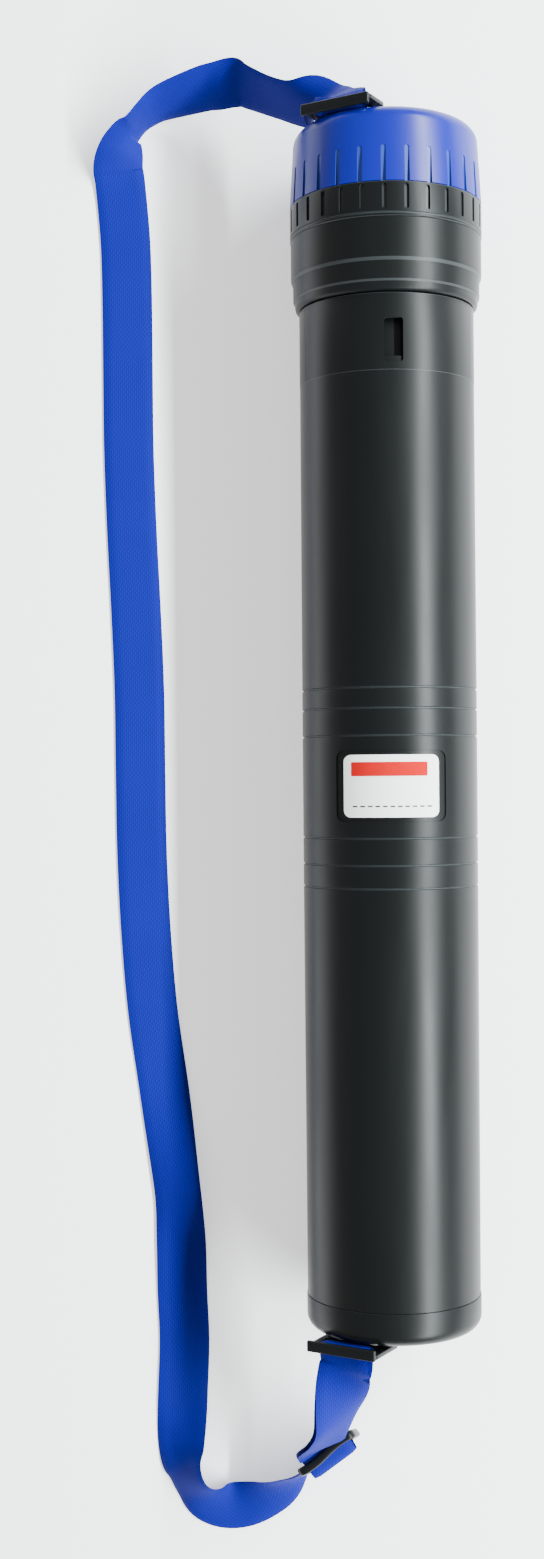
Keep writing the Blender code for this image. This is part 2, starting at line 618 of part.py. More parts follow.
clear_scene()
PARTS = make_collection("drawing_tube")
CUTTERS = make_collection("cutters")
BLACK = make_material("black_plastic", (0.012, 0.014, 0.015), 0.32)
BLUE = make_material("blue_plastic", (0.004, 0.055, 0.62), 0.28)
GREY = make_material("grey_plastic", (0.30, 0.30, 0.30), 0.5)
WHITE = make_material("white_card", (0.90, 0.90, 0.89), 0.55)
RUBBER = make_material("black_rubber", (0.02, 0.02, 0.02), 0.75)
STEEL = make_material("zinc_steel", (0.55, 0.56, 0.57), 0.35, 1.0)
WEBBING = make_material("blue_webbing", (0.002, 0.033, 0.57), 0.85)
TUBE_AXIS = make_axis("tube_axis")
SLEEVE_AXIS = make_axis("sleeve_axis", parent=TUBE_AXIS)
INNER_AXIS = make_axis("inner_axis", parent=TUBE_AXIS)
LIFT_AXIS = make_axis("cap_lift_axis", parent=INNER_AXIS)
CAP_AXIS = make_axis("cap_turn_axis", parent=LIFT_AXIS)
make_outer_tube()
make_label()
make_base_cap()
make_lock_sleeve()
make_inner_tube()
make_head_collar()
make_grip_ring()
make_cap()
make_base_loop()
make_cap_loop()
make_slider()
make_straps()
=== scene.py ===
"""Looks of the telescopic drawing tube: glossy moulded plastic, a printed label and woven webbing.

Metres, in the frame of the CAD parts: +Y along the tube, +Z up, the origin on the tube's axis at its base.
"""
import math

import bmesh
import bpy
from mathutils import Matrix, Vector


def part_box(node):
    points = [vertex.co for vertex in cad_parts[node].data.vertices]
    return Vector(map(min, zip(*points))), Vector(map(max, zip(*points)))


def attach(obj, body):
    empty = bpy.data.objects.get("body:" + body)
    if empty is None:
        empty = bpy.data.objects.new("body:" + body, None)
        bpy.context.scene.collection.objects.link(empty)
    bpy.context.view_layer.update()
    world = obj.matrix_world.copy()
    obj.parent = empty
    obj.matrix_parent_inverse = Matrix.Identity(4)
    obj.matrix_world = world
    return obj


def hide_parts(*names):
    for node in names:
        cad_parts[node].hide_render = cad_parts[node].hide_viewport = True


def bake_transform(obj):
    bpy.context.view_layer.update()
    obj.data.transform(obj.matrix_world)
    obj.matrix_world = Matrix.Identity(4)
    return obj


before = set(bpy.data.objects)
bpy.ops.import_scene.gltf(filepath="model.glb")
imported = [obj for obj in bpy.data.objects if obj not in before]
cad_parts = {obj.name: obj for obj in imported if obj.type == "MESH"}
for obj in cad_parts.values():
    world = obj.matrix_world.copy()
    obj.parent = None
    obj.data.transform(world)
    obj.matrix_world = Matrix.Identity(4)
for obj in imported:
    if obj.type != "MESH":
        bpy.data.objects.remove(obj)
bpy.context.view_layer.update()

# Places that come from the frame.
TUBE_LOW, TUBE_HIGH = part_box("outer_tube")
SLEEVE_LOW, SLEEVE_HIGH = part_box("lock_sleeve")
COLLAR_LOW, COLLAR_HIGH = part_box("head_collar")
RING_LOW, RING_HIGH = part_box("grip_ring")
CAP_LOW, CAP_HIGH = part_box("cap")
INNER_LOW, INNER_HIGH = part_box("inner_tube")
TUBE_R = TUBE_HIGH.x
RING_R = RING_HIGH.x
FLOOR_Z = -RING_R
GAP = 0.0003
TUBE_END = SLEEVE_LOW.y - GAP
CAP_START = CAP_LOW.y
CAP_TOP = CAP_HIGH.y

# Driving dimensions of the visible shapes.
SEGMENTS = 160
EDGE = 0.0004
MARKED_R = TUBE_R - 0.0010
BORE_R = TUBE_R - 0.0026
SPIGOT_R = TUBE_R - 0.0014
SPIGOT_LENGTH = 0.008
GROOVES = (0.2526, 0.2654, 0.2804, 0.3374, 0.3525, 0.3639)
GROOVE_HALF = 0.0006
GROOVE_DEPTH = 0.0007
PARTING_CLOCK = -4.0
PARTING_DEPTH = 0.00018
PARTING_HALF = 0.00034
CUTTER_REACH = 0.08
LABEL_CENTRE = (-0.0019, 0.3094)
LABEL_SIZE = (0.0524, 0.0346)
LABEL_CORNER = 0.0038
RECESS_SIZE = (0.0604, 0.0396)
RECESS_CORNER = 0.0045
RECESS_DEPTH = 0.0007
RECESS_BAND = (0.27, 0.35)
HEADER_PLACE = (-0.0012, 0.0094)
HEADER_SIZE = (0.0420, 0.0078)
DASHES = 11
DASH_PITCH = 0.0041
DASH_PLACE = (-0.0202, -0.0112)
DASH_SIZE = (0.0026, 0.0008)
BASE_FILLET = 0.008
BASE_PLUG_R = TUBE_R - 0.0029
BASE_WALL_R = TUBE_R - 0.0056
BASE_PLUG_TOP = 0.032
BASE_FLOOR = 0.003
BASE_RING_R = 0.030
WINDOW_CENTRE = (0.0010, 0.5547)
WINDOW_SIZE = (0.0104, 0.0242)
SLEEVE_COUNTERBORE = 0.0083
SLEEVE_SEAMS = (-70.0, 66.0)
TOOTH_TIP_R = 0.0454
TOOTH_ROOT_R = BORE_R + 0.0008
TOOTH_CLOCK = 182.0
TOOTH_SWEEP = 18.0
INNER_R = 0.0450
INNER_BORE_R = 0.0430
RACK_TEETH = 26
RACK_START = 0.0633
RACK_PITCH = 0.020
RACK_ROOT_R = INNER_R - 0.0006
RACK_TIP_R = 0.0469
RACK_CLOCK = 148.0
RACK_SWEEP = 20.0
NECK_R = 0.0485
NECK_RIB_R = 0.0500
THREAD_LEAD = 0.024
THREAD_STARTS = 3
RIB_WIDTH = 0.0024
RIB_ROOT = 0.0005
NECK_RIBS = (0.6480, 216.0)
CAP_RIBS = (0.6455, 135.0)
COLLAR_STEPS = ((0.0546, 0.6005), (0.0545, 0.5990), (0.0538, 0.5972), (0.0534, 0.5962), (0.0534, 0.5880),
                (0.0533, 0.5873), (0.0524, 0.5862), (0.0523, 0.5852))
COLLAR_LINES = (0.5867, 0.5985)
RING_SLOTS = 28
CAP_SLOTS = 26
SLOT_WIDTH = 0.0027
CAP_TOP_R = 0.0529
CAP_FILLET = 0.009
CAP_BORE_R = 0.0505
CAP_RIB_R = 0.0490
CAP_ROOF = 0.0028
PIN_HOLE_R = 0.0033
BAND_WIDTH = 0.030
BAND_THICKNESS = 0.0015
LOOP_TILT = math.radians(30.0)
LOOP_GAP = 0.0022
LOOP_THICKNESS = 0.0028
BASE_BAR = Vector((-0.029, -LOOP_GAP - LOOP_THICKNESS / 2, 0.036))
CAP_BAR = Vector((-0.027, CAP_TOP + LOOP_GAP + LOOP_THICKNESS / 2, 0.036))
BAR_ALONG = Vector((math.cos(LOOP_TILT), 0.0, math.sin(LOOP_TILT)))
BAR_OUT = Vector((-math.sin(LOOP_TILT), 0.0, math.cos(LOOP_TILT)))
BAR_HALF = 0.00225
GUARD = (0.0050, 0.0076)
LOOP_WIDTH = 0.044
LOOP_SLOT = 0.034
HOOD_WIDTH = 0.0425
HOOD_DEPTH = 0.0060
FOOT_SIZE = (0.037, 0.011)
FOOT_PLACE = -0.016
RIVET_SIDE = 0.012
RIVET_DOME = ((0.0, -0.0012), (0.0018, -0.0011), (0.0028, -0.0006), (0.0032, 0.0), (0.0, 0.0))
ARM_START = Vector((0.0, -0.0105, 0.0))
ARM_END_R = 0.008
ARM_HALF = 0.0075
WRAP_REACH = BAR_HALF + 0.0004 + BAND_THICKNESS / 2
WRAP_UNDER = LOOP_THICKNESS / 2 + 0.0002 + BAND_THICKNESS / 2
LAYER = 0.0013
SLIDER_SIZE = (0.040, 0.024)
SLIDER_THICKNESS = 0.0050
SLIDER_SLOT = (0.033, 0.0060)
SLIDER_SLOT_PLACE = 0.0052
SLIDER_EDGE = 0.0014
SLIDER_WAVE = 0.0009
SLIDER_LEAN = math.radians(20.0)
SLIDER_CENTRE = Vector((-0.0377, -0.0804, -0.0200))
SLIDER_ACROSS = Vector((0.81, 0.59, 0.0)).normalized()
SLIDER_FORWARD = Vector((0.59, -0.81, 0.0)).normalized()
SLIDER_DOWN = SLIDER_FORWARD * math.sin(SLIDER_LEAN) - Vector((0.0, 0.0, math.cos(SLIDER_LEAN)))
SLIDER_OUT = SLIDER_FORWARD * math.cos(SLIDER_LEAN) + Vector((0.0, 0.0, math.sin(SLIDER_LEAN)))

# Camera, straight above the middle of the picture.
CAMERA_PLACE = Vector((-0.0678, 0.3135, 1.100))
CAMERA_ROLL = math.radians(-0.47)
CAMERA_LENS = 44.2

# Light, and the webbing's weave.
FLOOR_SIZE = 60.0
FLOOR_GLOW = 0.8
WORLD_STRENGTH = 0.6
STRIP_PLACE = (1.25, 0.32, 1.25)
STRIP_TARGET = (0.0, 0.32, 0.0)
STRIP_SIZE = (0.12, 4.0)
STRIP_POWER = 260.0
STRIP_COLOUR = (0.93, 1.0, 1.0)
YARN_WIDTH = 0.0012
YARN_LENGTH = 0.0030
# The webbing's colour low in the weave, which is painted shade, and on top of the yarn.
WEBBING_DARK = (0.000, 0.002, 0.16)
WEBBING_LIGHT = (0.000, 0.0035, 0.22)

# Strap routes: centre of the band, then the way across it. The run along the floor is that of the CAD
# band. The two ends of this run, and the routes after it, are drawn for the looks alone.
FLOOR_RUN = (
    ((-0.1519, 0.6981, -0.0412), (0.40, -0.26, -0.88)),
    ((-0.1553, 0.6911, -0.0447), (0.72, -0.23, -0.65)),
    ((-0.1573, 0.6816, -0.0508), (0.97, -0.08, -0.22)),
    ((-0.1562, 0.6724, -0.0534), (1.00, 0.00, -0.03)),
    ((-0.1535, 0.6386, -0.0538), (1.00, 0.00, 0.00)),
    ((-0.1527, 0.6025, -0.0538), (1.00, 0.00, 0.00)),
    ((-0.1526, 0.5580, -0.0538), (1.00, 0.00, 0.00)),
    ((-0.1524, 0.5121, -0.0538), (1.00, 0.01, 0.00)),
    ((-0.1510, 0.4639, -0.0538), (1.00, 0.03, 0.00)),
    ((-0.1489, 0.4156, -0.0538), (1.00, 0.05, 0.00)),
    ((-0.1473, 0.3674, -0.0538), (1.00, 0.02, 0.00)),
    ((-0.1470, 0.3192, -0.0538), (1.00, 0.01, 0.00)),
    ((-0.1465, 0.2710, -0.0538), (1.00, 0.03, 0.00)),
    ((-0.1445, 0.2228, -0.0538), (1.00, 0.06, 0.00)),
    ((-0.1407, 0.1746, -0.0538), (1.00, 0.12, 0.00)),
    ((-0.1341, 0.1264, -0.0532), (1.00, 0.14, 0.04)),
    ((-0.1280, 0.0800, -0.0490), (0.95, 0.10, 0.28)),
    ((-0.1256, 0.0578, -0.0490), (0.95, 0.00, 0.28)),
    ((-0.1246, 0.0331, -0.0520), (1.00, 0.00, 0.08)),
    ((-0.1243, 0.0058, -0.0538), (1.00, 0.00, 0.00)),
    ((-0.1233, -0.0243, -0.0538), (1.00, 0.00, 0.00)),
    ((-0.1247, -0.0604, -0.0538), (1.00, 0.00, 0.00)),
    ((-0.1255, -0.0870, -0.0490), (0.90, 0.10, 0.35)),
    ((-0.1232, -0.1010, -0.0440), (0.65, 0.35, 0.65)),
    ((-0.1168, -0.1127, -0.0450), (0.45, 0.55, 0.65)),
    ((-0.1050, -0.1215, -0.0500), (0.25, 0.90, 0.30)),
    ((-0.0907, -0.1225, -0.0515), (-0.10, 0.97, 0.15)),
    ((-0.0737, -0.1158, -0.0465), (-0.35, 0.85, 0.45)),
    ((-0.0605, -0.1052, -0.0400), (-0.25, 0.55, 0.80)),
    ((-0.0510, -0.0965, -0.0375), (-0.35, 0.00, 0.93)),
    ((-0.0445, -0.0895, -0.0385), (-0.65, -0.45, 0.60)),
)
# From the slider up to the base's bar: centre, and the roll about the way it runs, in degrees.
RISE = (
    ((-0.0425, -0.0695, -0.0005), 44.0),
    ((-0.0388, -0.0615, 0.0080), 48.0),
    ((-0.0349, -0.0500, 0.0175), 44.0),
    ((-0.0323, -0.0340, 0.0275), 20.0),
    ((-0.0303, -0.0185, 0.0340), -10.0),
)
TOP_RUN = (
    ((-0.0330, 0.6960, 0.0235), (-0.80, -0.18, -0.57)),
    ((-0.0395, 0.6988, 0.0110), (-0.62, -0.18, -0.76)),
    ((-0.0507, 0.7023, -0.0020), (-0.12, -0.41, -0.90)),
    ((-0.0645, 0.7096, -0.0110), (-0.11, -0.37, -0.92)),
    ((-0.0785, 0.7180, -0.0185), (-0.04, -0.54, -0.84)),
    ((-0.0856, 0.7222, -0.0220), (0.05, -0.72, -0.69)),
    ((-0.0969, 0.7212, -0.0250), (0.08, -0.68, -0.73)),
    ((-0.1069, 0.7201, -0.0280), (0.12, -0.59, -0.80)),
    ((-0.1285, 0.7153, -0.0350), (0.15, -0.39, -0.91)),
    ((-0.1400, 0.7093, -0.0385), (0.14, -0.22, -0.97)),
)
CORNER = ((-0.1475, 0.7028, -0.0403), (0.20, -0.15, -0.97))
# Through the slider: how far down its plate and out of its face, on the way in and at the sewn end.
SLIDER_PASS = ((0.0165, -0.0026), (0.0090, -0.0040), (0.0054, 0.0002), (0.0030, 0.0056), (0.0, 0.0074),
               (-0.0030, 0.0056), (-0.0054, 0.0002), (-0.0090, -0.0040), (-0.0125, -0.0040))
SLIDER_END = ((-0.0125, -0.0062), (-0.0085, -0.0060), (-0.0040, -0.0028), (-0.0033, 0.0016), (0.0, 0.0042),
              (0.0033, 0.0016), (0.0034, -0.0020), (0.0012, -0.0038))
# Round a loop's bar: how far out and how far along the tube from the bar's middle.
BASE_WRAP = ((WRAP_REACH * 0.8, 0.0090), (WRAP_REACH, 0.0035), (WRAP_REACH, -0.0008),
             (WRAP_REACH * 0.6, -WRAP_UNDER), (0.0, -WRAP_UNDER), (-WRAP_REACH * 0.6, -WRAP_UNDER),
             (-WRAP_REACH, -0.0008), (-WRAP_REACH, 0.0035), (-WRAP_REACH * 0.8, 0.0090))
CAP_WRAP = ((-WRAP_REACH, 0.0022), (-WRAP_REACH, -0.0008), (-WRAP_REACH * 0.6, -WRAP_UNDER),
            (0.0, -WRAP_UNDER), (WRAP_REACH * 0.6, -WRAP_UNDER), (WRAP_REACH, -0.0008),
            (WRAP_REACH, 0.0022), (WRAP_REACH * 0.7, 0.0040))


# ---------------------------------------------------------------- materials

def new_material(name):
    material = bpy.data.materials.new(name)
    material.use_nodes = True
    nodes = material.node_tree.nodes
    return material, nodes, material.node_tree.links, nodes["Principled BSDF"]


def noise(nodes, links, scale, detail=3.0, stretch=(1.0, 1.0, 1.0)):
    """Noise in the object's own metres."""
    place = nodes.new("ShaderNodeTexCoord")
    mapping = nodes.new("ShaderNodeMapping")
    mapping.inputs["Scale"].default_value = stretch
    links.new(place.outputs["Object"], mapping.inputs["Vector"])
    texture = nodes.new("ShaderNodeTexNoise")
    texture.inputs["Scale"].default_value = scale
    texture.inputs["Detail"].default_value = detail
    links.new(mapping.outputs["Vector"], texture.inputs["Vector"])
    return texture.outputs["Fac"]


def spread(nodes, links, value, low, high):
    """Map a 0 to 1 value to a range."""
    node = nodes.new("ShaderNodeMapRange")
    node.inputs["From Min"].default_value = 0.3
    node.inputs["From Max"].default_value = 0.7
    node.inputs["To Min"].default_value = low
    node.inputs["To Max"].default_value = high
    links.new(value, node.inputs["Value"])
    return node.outputs["Result"]


def tint(nodes, links, value, dark, light):
    node = nodes.new("ShaderNodeMix")
    node.data_type = "RGBA"
    node.inputs["A"].default_value = (*dark, 1.0)
    node.inputs["B"].default_value = (*light, 1.0)
    links.new(value, node.inputs["Factor"])
    return node.outputs["Result"]


def bump(nodes, links, shader, height, strength, distance):
    node = nodes.new("ShaderNodeBump")
    node.inputs["Strength"].default_value = strength
    node.inputs["Distance"].default_value = distance
    links.new(height, node.inputs["Height"])
    links.new(node.outputs["Normal"], shader.inputs["Normal"])


def plastic(name, dark, light, roughness, specular):
    """Moulded plastic: faint colour drift, handling marks in the gloss and a fine moulded skin."""
    material, nodes, links, shader = new_material(name)
    drift = noise(nodes, links, 9.0)
    links.new(tint(nodes, links, drift, dark, light), shader.inputs["Base Color"])
    rub = noise(nodes, links, 60.0, 6.0, (1.0, 0.15, 1.0))
    links.new(spread(nodes, links, rub, roughness - 0.03, roughness + 0.05),
              shader.inputs["Roughness"])
    shader.inputs["Specular IOR Level"].default_value = specular
    bump(nodes, links, shader, noise(nodes, links, 1500.0, 2.0), 0.05, 0.0001)
    return material


def math_node(nodes, links, operation, first, second=None):
    node = nodes.new("ShaderNodeMath")
    node.operation = operation
    for socket, value in zip(node.inputs, (first, second)):
        if value is None:
            continue
        if isinstance(value, float):
            socket.default_value = value
        else:
            links.new(value, socket)
    return node.outputs["Value"]


def webbing_material():
    """Flat woven webbing: columns of yarn that pass over and under, in metres along its UV map."""
    material, nodes, links, shader = new_material("blue_webbing")
    uv = nodes.new("ShaderNodeUVMap")
    uv.uv_map = "band"
    split = nodes.new("ShaderNodeSeparateXYZ")
    links.new(uv.outputs["UV"], split.inputs["Vector"])
    across, along = split.outputs["X"], split.outputs["Y"]
    columns = math_node(nodes, links, "MULTIPLY", across, 1.0 / YARN_WIDTH)
    column = math_node(nodes, links, "FLOOR", columns)
    round_yarn = math_node(nodes, links, "SINE", math_node(
        nodes, links, "MULTIPLY", math_node(nodes, links, "SUBTRACT", columns, column), math.pi))
    phase = math_node(nodes, links, "MULTIPLY", column, math.pi)
    run = math_node(nodes, links, "MULTIPLY", along, 2.0 * math.pi / YARN_LENGTH)
    over = math_node(nodes, links, "SINE", math_node(nodes, links, "ADD", run, phase))
    lift = math_node(nodes, links, "MULTIPLY", math_node(nodes, links, "ADD", over, 1.4), 0.42)
    height = math_node(nodes, links, "MULTIPLY", round_yarn, lift)
    fibre = noise(nodes, links, 2500.0, 2.0)
    drift = noise(nodes, links, 25.0, 3.0)
    # The colour is darker low in the weave, between the yarns and where they pass under: painted shade. The
    # drift adds tone that differs at random.
    shade = math_node(nodes, links, "ADD", math_node(nodes, links, "MULTIPLY", height, 0.55),
                      math_node(nodes, links, "MULTIPLY", drift, 0.5))
    links.new(tint(nodes, links, shade, WEBBING_DARK, WEBBING_LIGHT), shader.inputs["Base Color"])
    rough = math_node(nodes, links, "MULTIPLY", fibre, 0.12)
    links.new(math_node(nodes, links, "ADD", rough, 0.66), shader.inputs["Roughness"])
    shader.inputs["Specular IOR Level"].default_value = 0.15
    bump(nodes, links, shader, height, 0.35, 0.0003)
    return material


def metal_material():
    material, nodes, links, shader = new_material("zinc_steel")
    grain = noise(nodes, links, 900.0, 4.0)
    links.new(tint(nodes, links, grain, (0.42, 0.43, 0.44), (0.60, 0.61, 0.62)),
              shader.inputs["Base Color"])
    shader.inputs["Metallic"].default_value = 1.0
    links.new(spread(nodes, links, grain, 0.26, 0.40), shader.inputs["Roughness"])
    return material


def paper_material(name, dark, light):
    material, nodes, links, shader = new_material(name)
    links.new(tint(nodes, links, noise(nodes, links, 300.0, 5.0), dark, light),
              shader.inputs["Base Color"])
    links.new(spread(nodes, links, noise(nodes, links, 120.0), 0.75, 0.90),
              shader.inputs["Roughness"])
    shader.inputs["Specular IOR Level"].default_value = 0.1
    return material


BLACK = plastic("black_plastic", (0.0022, 0.0030, 0.0033), (0.0032, 0.0042, 0.0045), 0.36, 0.20)
BLUE = plastic("blue_plastic", (0.000, 0.003, 0.20), (0.000, 0.004, 0.24), 0.34, 0.34)
# Paler copies of the blue and the black plastic, put on edges, grooves and cut walls: a painted highlight,
# standing for light caught on the edges.
BLUE_EDGE_HIGHLIGHT = plastic("blue_painted_edge_highlight", (0.010, 0.030, 0.22), (0.015, 0.040, 0.28), 0.40, 0.50)
BLACK_EDGE_HIGHLIGHT = plastic("black_painted_edge_highlight", (0.016, 0.020, 0.021), (0.022, 0.026, 0.027), 0.40, 0.30)
GREY = plastic("grey_plastic", (0.20, 0.20, 0.20), (0.26, 0.26, 0.26), 0.5, 0.4)
RUBBER = plastic("black_rubber", (0.012, 0.012, 0.012), (0.02, 0.02, 0.02), 0.7, 0.3)
STEEL = metal_material()
WEBBING = webbing_material()
PAPER = paper_material("label_paper", (0.86, 0.86, 0.86), (0.92, 0.92, 0.92))
RED_INK = paper_material("label_red_ink", (0.42, 0.003, 0.004), (0.50, 0.004, 0.005))
GREY_INK = paper_material("label_grey_ink", (0.02, 0.02, 0.02), (0.03, 0.03, 0.03))


# ---------------------------------------------------------------- mesh tools

def around(radius, degrees, station):
    """A point from a radius, a clock angle (0 up, +90 towards +X) and a station along the tube."""
    angle = math.radians(degrees)
    return Vector((radius * math.sin(angle), station, radius * math.cos(angle)))


def finish_mesh(name, shape, material=None, sharp=35.0):
    bmesh.ops.recalc_face_normals(shape, faces=shape.faces)
    mesh = bpy.data.meshes.new(name)
    shape.to_mesh(mesh)
    shape.free()
    piece = bpy.data.objects.new(name, mesh)
    bpy.context.scene.collection.objects.link(piece)
    if material is not None:
        mesh.materials.append(material)
    mesh.shade_smooth()
    mesh.set_sharp_from_angle(angle=math.radians(sharp))
    return piece


def soften(profile, radius=EDGE, closed=True):
    """Round the corners of a profile of (radius, station) points."""
    points = []
    count = len(profile)
    for i, corner in enumerate(profile):
        if not closed and i in (0, count - 1):
            points.append(Vector(corner))
            continue
        here = Vector(corner)
        before = Vector(profile[i - 1]) - here
        after = Vector(profile[(i + 1) % count]) - here
        straight = before.normalized().dot(after.normalized()) < -0.985
        if straight:
            points.append(here)
            continue
        start = here + before.normalized() * min(radius, before.length * 0.4)
        end = here + after.normalized() * min(radius, after.length * 0.4)
        middle = here * 0.5 + start * 0.25 + end * 0.25
        points += [start, middle, end]
    return points


def paint_edge_highlights(piece, stations, least_r, material, half=0.0005):
    """Give the edges and grooves at some stations along the tube a paler material: a painted highlight along
    them.
    """
    piece.data.materials.append(material)
    for face in piece.data.polygons:
        centre = face.center
        if math.hypot(centre.x, centre.z) < least_r:
            continue
        if any(abs(centre.y - station) < half for station in stations):
            face.material_index = len(piece.data.materials) - 1


def lathe(name, profile, material, closed=True, segments=SEGMENTS):
    """Turn a profile of (radius, station) points about the tube's axis."""
    shape = bmesh.new()
    rings = []
    for radius, station in profile:
        if radius < 1e-6:
            rings.append([shape.verts.new((0.0, station, 0.0))])
            continue
        rings.append([shape.verts.new(around(radius, 360.0 * i / segments, station))
                      for i in range(segments)])
    pairs = list(zip(rings, rings[1:]))
    if closed:
        pairs.append((rings[-1], rings[0]))
    for low, high in pairs:
        for i in range(segments):
            j = (i + 1) % segments
            corners = [low[i % len(low)], low[j % len(low)], high[j % len(high)], high[i % len(high)]]
            corners = list(dict.fromkeys(corners))
            if len(corners) > 2:
                shape.faces.new(corners)
    return finish_mesh(name, shape, material)


def loft(shape, sections):
    """A closed skin through sections that have the same number of corners."""
    rings = [[shape.verts.new(corner) for corner in section] for section in sections]
    count = len(rings[0])
    for ring, following in zip(rings, rings[1:]):
        for i in range(count):
            j = (i + 1) % count
            shape.faces.new((ring[i], ring[j], following[j], following[i]))
    shape.faces.new(rings[0][::-1])
    shape.faces.new(rings[-1])


def rounded_rectangle(centre, size, corner, steps=6):
    points = []
    signs = ((1, 1), (-1, 1), (-1, -1), (1, -1))
    for index, (sx, sy) in enumerate(signs):
        cx = centre[0] + sx * (size[0] / 2 - corner)
        cy = centre[1] + sy * (size[1] / 2 - corner)
        for i in range(steps + 1):
            angle = math.radians(90.0 * index + 90.0 * i / steps)
            points.append((cx + corner * math.cos(angle), cy + corner * math.sin(angle)))
    return points


def upright_prism(name, outline, low, high):
    """A cutter from an outline in X and Y."""
    shape = bmesh.new()
    loft(shape, [[(x, y, low) for x, y in outline], [(x, y, high) for x, y in outline]])
    return finish_mesh(name, shape)


def cut(piece, tool, operation="DIFFERENCE", sharp=35.0):
    """Apply a Boolean with a tool mesh, and remove the tool."""
    modifier = piece.modifiers.new("cut", "BOOLEAN")
    modifier.operation = operation
    modifier.object = tool
    modifier.solver = "EXACT"
    modifier.material_mode = "TRANSFER"
    apply_modifiers(piece, sharp)
    bpy.data.objects.remove(tool, do_unlink=True)
    return piece


def apply_modifiers(piece, sharp=35.0):
    bpy.context.view_layer.update()
    evaluated = piece.evaluated_get(bpy.context.evaluated_depsgraph_get())
    mesh = bpy.data.meshes.new_from_object(evaluated)
    piece.modifiers.clear()
    piece.data = mesh
    mesh.shade_smooth()
    mesh.set_sharp_from_angle(angle=math.radians(sharp))


def slot_tools(count, phase, radius, depth, width, low, high):
    """Cutters round the tube: straight slots whose upper end is round, from low to high."""
    shape = bmesh.new()
    half = width / 2
    top = high - half
    outline = [(-half, low), (half, low)]
    outline += [(half * math.cos(math.radians(a)), top + half * math.sin(math.radians(a)))
                for a in range(0, 181, 30)]
    for i in range(count):
        turn = Matrix.Rotation(math.radians(phase + 360.0 * i / count), 4, "Y")
        sections = []
        for z in (radius - depth, radius + 0.004):
            sections.append([turn @ Vector((x, y, z)) for x, y in outline])
        loft(shape, sections)
    return finish_mesh("slot_tools", shape)


def thread_ribs(name, root_r, top_r, station, sweep):
    """The thread's ribs, one for each start, from a station through a sweep in degrees."""
    shape = bmesh.new()
    steps = round(sweep / 4.0)
    for start in range(THREAD_STARTS):
        sections = []
        for i in range(steps + 1):
            turned = sweep * i / steps
            fade = min(1.0, i / 5.0, (steps - i) / 5.0)
            high = root_r + (top_r - root_r) * max(fade, 0.05)
            middle = station + THREAD_LEAD * turned / 360.0
            degrees = 360.0 * start / THREAD_STARTS + turned
            sections.append([around(root_r, degrees, middle - RIB_WIDTH / 2),
                             around(high, degrees, middle - RIB_WIDTH / 4),
                             around(high, degrees, middle + RIB_WIDTH / 4),
                             around(root_r, degrees, middle + RIB_WIDTH / 2)])
        loft(shape, sections)
    return finish_mesh(name, shape)


def show(piece, body, slot, *nodes):
    """Say which body a piece rides on and the CAD nodes that it stands for. The slot argument is not used."""
    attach(piece, body)
    if nodes:
        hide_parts(*nodes)
    return piece


# ---------------------------------------------------------------- outer tube

def groove(station):
    """Points of a small round groove, going towards the base."""
    return [(TUBE_R, station + GROOVE_HALF * 1.8), (TUBE_R - 0.0001, station + GROOVE_HALF),
            (TUBE_R - GROOVE_DEPTH, station + GROOVE_HALF * 0.35),
            (TUBE_R - GROOVE_DEPTH, station - GROOVE_HALF * 0.35),
            (TUBE_R - 0.0001, station - GROOVE_HALF), (TUBE_R, station - GROOVE_HALF * 1.8)]


def make_outer_tube():
    end = SLEEVE_LOW.y + SPIGOT_LENGTH
    profile = soften([(BORE_R, end), (SPIGOT_R, end), (SPIGOT_R, TUBE_END), (TUBE_R, TUBE_END)])
    for station in reversed(GROOVES):
        profile += groove(station)
    profile += soften([(TUBE_R, TUBE_LOW.y), (BORE_R, TUBE_LOW.y)])
    tube = lathe("tube_body", profile, BLACK)
    floor_r, outer_r = TUBE_R - RECESS_DEPTH, TUBE_R + 0.01
    low, high = RECESS_BAND
    ring = lathe("recess_ring", [(floor_r, low), (floor_r, high), (outer_r, high), (outer_r, low)], BLACK)
    outline = rounded_rectangle(LABEL_CENTRE, RECESS_SIZE, RECESS_CORNER)
    walls = upright_prism("recess_outline", outline, 0.0, CUTTER_REACH)
    # The recess's walls take the paler black: a painted highlight round the label's recess.
    walls.data.materials.append(BLACK_EDGE_HIGHLIGHT)
    cut(ring, walls, "INTERSECT")
    cut(tube, ring)
    cut(tube, parting_tool(), sharp=30.0)
    # Painted highlights along the grooves and the tube's two ends.
    paint_edge_highlights(tube, GROOVES + (TUBE_END, TUBE_LOW.y), MARKED_R, BLACK_EDGE_HIGHLIGHT)
    show(tube, "outer_tube", "black_plastic", "outer_tube")


def parting_tool():
    """The mould's parting line: a hair-fine groove along the tube, broken by the label's band."""
    shape = bmesh.new()
    turn = Matrix.Rotation(math.radians(PARTING_CLOCK), 4, "Y")
    corners = ((-PARTING_HALF, TUBE_R + 0.001), (0.0, TUBE_R - PARTING_DEPTH), (PARTING_HALF, TUBE_R + 0.001))
    for low, high in ((TUBE_LOW.y + 0.001, GROOVES[0] - 0.002), (GROOVES[-1] + 0.002, TUBE_END - 0.001)):
        loft(shape, [[turn @ Vector((x, low, z)) for x, z in corners],
                     [turn @ Vector((x, high, z)) for x, z in corners]])
    tool = finish_mesh("parting_tool", shape)
    # The groove's faces take the paler black: a painted highlight along the parting line.
    tool.data.materials.append(BLACK_EDGE_HIGHLIGHT)
    return tool


def curved_patch(name, outline, low_r, high_r, material):
    """A thin skin on the tube inside an outline in X and Y."""
    stations = [y for x, y in outline]
    low, high = min(stations) - 0.002, max(stations) + 0.002
    skin = lathe(name, [(low_r, low), (low_r, high), (high_r, high), (high_r, low)], material)
    return cut(skin, upright_prism(name + "_outline", outline, 0.0, CUTTER_REACH), "INTERSECT")


